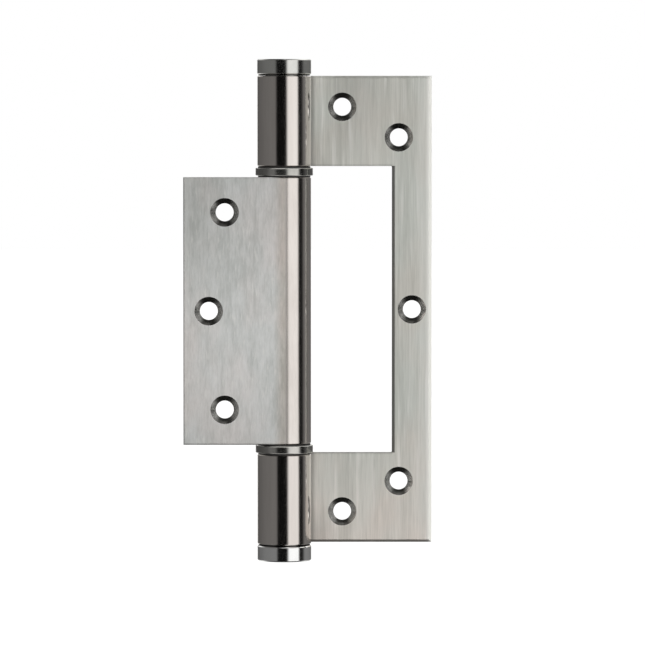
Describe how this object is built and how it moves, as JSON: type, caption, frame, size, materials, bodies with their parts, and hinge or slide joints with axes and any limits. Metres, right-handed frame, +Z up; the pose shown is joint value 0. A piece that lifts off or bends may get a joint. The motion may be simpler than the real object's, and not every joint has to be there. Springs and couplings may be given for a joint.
{
  "type": "self-closing butt hinge",
  "caption": "Self-closing butt hinge in satin stainless steel. A small door leaf on a rolled barrel folds flat into the window of a larger frame leaf, driven by a spring in the barrel.",
  "frame": {"origin": "Midway between the frame leaf's two inner screw holes, on the face of that leaf that lies on the door frame.", "axes": "+X runs from the pin along the frame leaf, +Y goes into the door frame, +Z goes up the pin."},
  "size_m": [0.094, 0.0218, 0.19],
  "materials": {
    "satin_steel": "satin stainless, grain along the pin",
    "polished_steel": "turned and polished stainless",
    "bearing_plastic": "dark acetal",
    "spring_steel": "oil-tempered flat wire",
    "turned_steel": "turned steel",
    "bush_bronze": "sintered bronze"
  },
  "bodies": {
    "frame": {"frame_leaf": "satin_steel", "bottom_cap": "polished_steel", "lower_bearing_ring": "polished_steel", "lower_ring_top_washer": "bearing_plastic", "lower_ring_bottom_washer": "bearing_plastic", "spindle_seat": "turned_steel", "spindle_friction_washer": "bearing_plastic", "upper_lock_ring": "turned_steel", "lower_pivot": "turned_steel", "lower_lock_ring": "turned_steel"},
    "door": {"door_leaf": "satin_steel", "upper_bearing_ring": "polished_steel", "upper_ring_top_washer": "bearing_plastic", "upper_ring_bottom_washer": "bearing_plastic", "upper_bush": "bush_bronze", "lower_bush": "bush_bronze", "spring_anchor": "turned_steel", "closing_spring": "spring_steel"},
    "spindle": {"tension_spindle": "turned_steel"},
    "cap": {"top_cap": "polished_steel"}
  },
  "joints": [
    {"name": "leaf_swing", "type": "hinge", "parent": "frame", "child": "door", "pos_m": [-0.022, -0.0102, 0], "axis": [0, 0, 1], "range_deg": [0, 180], "deforming": ["closing_spring"]},
    {"name": "tension_turn", "type": "hinge", "parent": "frame", "child": "spindle", "pos_m": [-0.022, -0.0102, 0], "axis": [0, 0, 1], "range_deg": [0, 270], "deforming": ["closing_spring"]},
    {"name": "cap_pull", "type": "slide", "parent": "frame", "child": "cap", "axis": [0, 0, 1], "range_m": [0, 0.02]}
  ]
}
